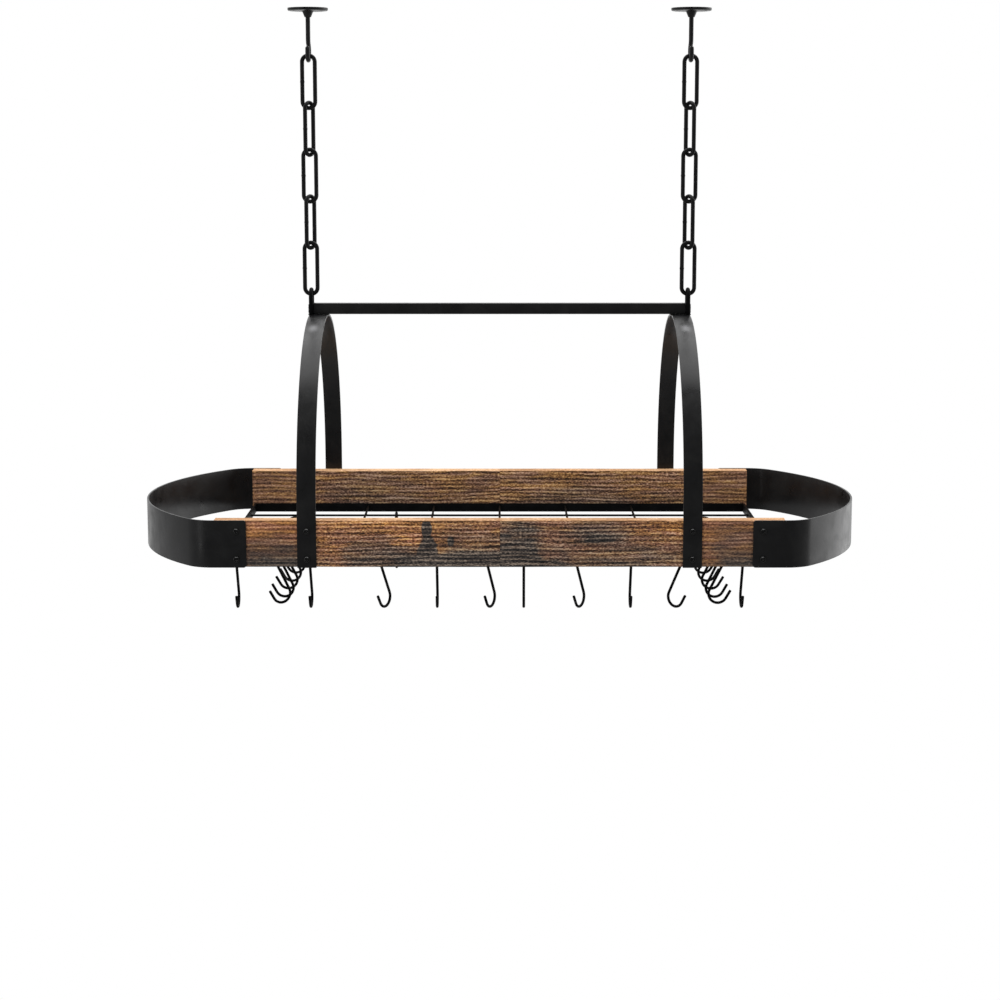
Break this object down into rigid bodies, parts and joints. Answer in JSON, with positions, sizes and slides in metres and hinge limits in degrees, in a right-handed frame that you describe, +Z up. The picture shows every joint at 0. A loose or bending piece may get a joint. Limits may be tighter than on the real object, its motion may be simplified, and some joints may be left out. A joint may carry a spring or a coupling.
{
  "type": "hanging pot rack",
  "caption": "Oval hanging pot rack: wooden side boards, bent steel ends, a wire grid with S-hooks, and steel arches whose top bar hangs on chains from ceiling hooks.",
  "frame": {"origin": "on the ceiling plane, midway between the two ceiling hooks", "axes": "+Z up, +X to the right along the boards, -Y to the front"},
  "size_m": [0.7872, 0.394, 0.6419],
  "materials": {
    "reclaimed_wood": "oiled reclaimed softwood with saw marks and dark stains",
    "black_steel": "satin black powder coat",
    "black_wire": "semi-gloss black coat on round wire",
    "black_screw": "black coated pan head screw"
  },
  "bodies": {
    "ceiling_hooks": {"ceiling_hook_left": "black_steel", "ceiling_hook_right": "black_steel"},
    "left_top_link": {"chain_left_link_1": "black_wire"},
    "right_top_link": {"chain_right_link_1": "black_wire"},
    "left_chain": {"chain_left_link_2": "black_wire", "chain_left_link_3": "black_wire", "chain_left_link_4": "black_wire", "chain_left_link_5": "black_wire"},
    "right_chain": {"chain_right_link_2": "black_wire", "chain_right_link_3": "black_wire", "chain_right_link_4": "black_wire", "chain_right_link_5": "black_wire"},
    "rack": {"board_front": "reclaimed_wood", "board_back": "reclaimed_wood", "end_strap_left": "black_steel", "end_strap_right": "black_steel", "arch_left": "black_steel", "arch_right": "black_steel", "top_bar": "black_steel", "eye_left": "black_wire", "eye_right": "black_wire", "grid": "black_wire", "screw_strap_left_front_lower": "black_screw", "screw_strap_left_front_upper": "black_screw", "screw_strap_left_back_lower": "black_screw", "screw_strap_left_back_upper": "black_screw", "screw_strap_right_front_lower": "black_screw", "screw_strap_right_front_upper": "black_screw", "screw_strap_right_back_lower": "black_screw", "screw_strap_right_back_upper": "black_screw", "screw_arch_left_front_lower": "black_screw", "screw_arch_left_front_upper": "black_screw", "screw_arch_left_back_lower": "black_screw", "screw_arch_left_back_upper": "black_screw", "screw_arch_right_front_lower": "black_screw", "screw_arch_right_front_upper": "black_screw", "screw_arch_right_back_lower": "black_screw", "screw_arch_right_back_upper": "black_screw"},
    "hook_01": {"s_hook_01": "black_wire"},
    "hook_02": {"s_hook_02": "black_wire"},
    "hook_03": {"s_hook_03": "black_wire"},
    "hook_04": {"s_hook_04": "black_wire"},
    "hook_05": {"s_hook_05": "black_wire"},
    "hook_06": {"s_hook_06": "black_wire"},
    "hook_07": {"s_hook_07": "black_wire"},
    "hook_08": {"s_hook_08": "black_wire"},
    "hook_09": {"s_hook_09": "black_wire"},
    "hook_10": {"s_hook_10": "black_wire"},
    "hook_11": {"s_hook_11": "black_wire"},
    "hook_12": {"s_hook_12": "black_wire"},
    "hook_13": {"s_hook_13": "black_wire"},
    "hook_14": {"s_hook_14": "black_wire"},
    "hook_15": {"s_hook_15": "black_wire"},
    "hook_16": {"s_hook_16": "black_wire"},
    "hook_17": {"s_hook_17": "black_wire"},
    "hook_18": {"s_hook_18": "black_wire"},
    "hook_19": {"s_hook_19": "black_wire"},
    "hook_20": {"s_hook_20": "black_wire"},
    "hook_21": {"s_hook_21": "black_wire"}
  },
  "joints": [
    {"name": "front_back_swing", "type": "hinge", "parent": "ceiling_hooks", "child": "left_top_link", "pos_m": [-0.209, 0, -0.0468], "axis": [1, 0, 0], "range_deg": [-20, 20]},
    {"name": "front_back_swing_right", "type": "hinge", "parent": "ceiling_hooks", "child": "right_top_link", "pos_m": [0.209, 0, -0.0468], "axis": [1, 0, 0], "range_deg": [-20, 20]},
    {"name": "side_sway", "type": "hinge", "parent": "left_top_link", "child": "left_chain", "pos_m": [-0.209, 0, -0.10035], "axis": [0, 1, 0], "range_deg": [-12, 12]},
    {"name": "side_sway_right", "type": "hinge", "parent": "right_top_link", "child": "right_chain", "pos_m": [0.209, 0, -0.10035], "axis": [0, 1, 0], "range_deg": [-12, 12]},
    {"name": "rack_level", "type": "hinge", "parent": "left_chain", "child": "rack", "pos_m": [-0.209, 0, -0.30355], "axis": [0, 1, 0], "range_deg": [-12, 12]},
    {"name": "hook_01_swing", "type": "hinge", "parent": "rack", "child": "hook_01", "pos_m": [-0.2829, -0.11553, -0.5788], "axis": [1, 0, 0], "range_deg": [-25, 25]},
    {"name": "hook_02_swing", "type": "hinge", "parent": "rack", "child": "hook_02", "pos_m": [-0.2038, -0.11553, -0.5788], "axis": [1, 0, 0], "range_deg": [-25, 25]},
    {"name": "hook_03_swing", "type": "hinge", "parent": "rack", "child": "hook_03", "pos_m": [-0.124, -0.11553, -0.5788], "axis": [1, 0, 0], "range_deg": [-25, 25]},
    {"name": "hook_04_swing", "type": "hinge", "parent": "rack", "child": "hook_04", "pos_m": [-0.0674, -0.11553, -0.5788], "axis": [1, 0, 0], "range_deg": [-25, 25]},
    {"name": "hook_05_swing", "type": "hinge", "parent": "rack", "child": "hook_05", "pos_m": [-0.0098, -0.11553, -0.5788], "axis": [1, 0, 0], "range_deg": [-25, 25]},
    {"name": "hook_06_swing", "type": "hinge", "parent": "rack", "child": "hook_06", "pos_m": [0.0261, -0.11553, -0.5788], "axis": [1, 0, 0], "range_deg": [-25, 25]},
    {"name": "hook_07_swing", "type": "hinge", "parent": "rack", "child": "hook_07", "pos_m": [0.0866, -0.11553, -0.5788], "axis": [1, 0, 0], "range_deg": [-25, 25]},
    {"name": "hook_08_swing", "type": "hinge", "parent": "rack", "child": "hook_08", "pos_m": [0.1414, -0.11553, -0.5788], "axis": [1, 0, 0], "range_deg": [-25, 25]},
    {"name": "hook_09_swing", "type": "hinge", "parent": "rack", "child": "hook_09", "pos_m": [0.19, -0.11553, -0.5788], "axis": [1, 0, 0], "range_deg": [-25, 25]},
    {"name": "hook_10_swing", "type": "hinge", "parent": "rack", "child": "hook_10", "pos_m": [0.2615, -0.11553, -0.5788], "axis": [1, 0, 0], "range_deg": [-25, 25]},
    {"name": "hook_11_swing", "type": "hinge", "parent": "rack", "child": "hook_11", "pos_m": [-0.1219, 0.11553, -0.5788], "axis": [1, 0, 0], "range_deg": [-25, 25]},
    {"name": "hook_12_swing", "type": "hinge", "parent": "rack", "child": "hook_12", "pos_m": [-0.2367, -0.10503, -0.5765], "axis": [0, 1, 0], "range_deg": [-15, 25]},
    {"name": "hook_13_swing", "type": "hinge", "parent": "rack", "child": "hook_13", "pos_m": [-0.2367, -0.07197, -0.5765], "axis": [0, 1, 0], "range_deg": [-15, 25]},
    {"name": "hook_14_swing", "type": "hinge", "parent": "rack", "child": "hook_14", "pos_m": [-0.2367, -0.026, -0.5765], "axis": [0, 1, 0], "range_deg": [-15, 25]},
    {"name": "hook_15_swing", "type": "hinge", "parent": "rack", "child": "hook_15", "pos_m": [-0.2367, 0.018, -0.5765], "axis": [0, 1, 0], "range_deg": [-15, 25]},
    {"name": "hook_16_swing", "type": "hinge", "parent": "rack", "child": "hook_16", "pos_m": [-0.2367, 0.06797, -0.5765], "axis": [0, 1, 0], "range_deg": [-15, 25]},
    {"name": "hook_17_swing", "type": "hinge", "parent": "rack", "child": "hook_17", "pos_m": [0.2367, -0.10703, -0.5765], "axis": [0, 1, 0], "range_deg": [-8, 15]},
    {"name": "hook_18_swing", "type": "hinge", "parent": "rack", "child": "hook_18", "pos_m": [0.2367, -0.07397, -0.5765], "axis": [0, 1, 0], "range_deg": [-25, 15]},
    {"name": "hook_19_swing", "type": "hinge", "parent": "rack", "child": "hook_19", "pos_m": [0.2367, -0.028, -0.5765], "axis": [0, 1, 0], "range_deg": [-25, 15]},
    {"name": "hook_20_swing", "type": "hinge", "parent": "rack", "child": "hook_20", "pos_m": [0.2367, 0.018, -0.5765], "axis": [0, 1, 0], "range_deg": [-25, 15]},
    {"name": "hook_21_swing", "type": "hinge", "parent": "rack", "child": "hook_21", "pos_m": [0.2367, 0.06597, -0.5765], "axis": [0, 1, 0], "range_deg": [-25, 15]}
  ],
  "couplings": [
    {"joint": "front_back_swing_right", "follows": "front_back_swing", "ratio": 1},
    {"joint": "side_sway_right", "follows": "side_sway", "ratio": 1},
    {"joint": "rack_level", "follows": "side_sway", "ratio": -1}
  ]
}
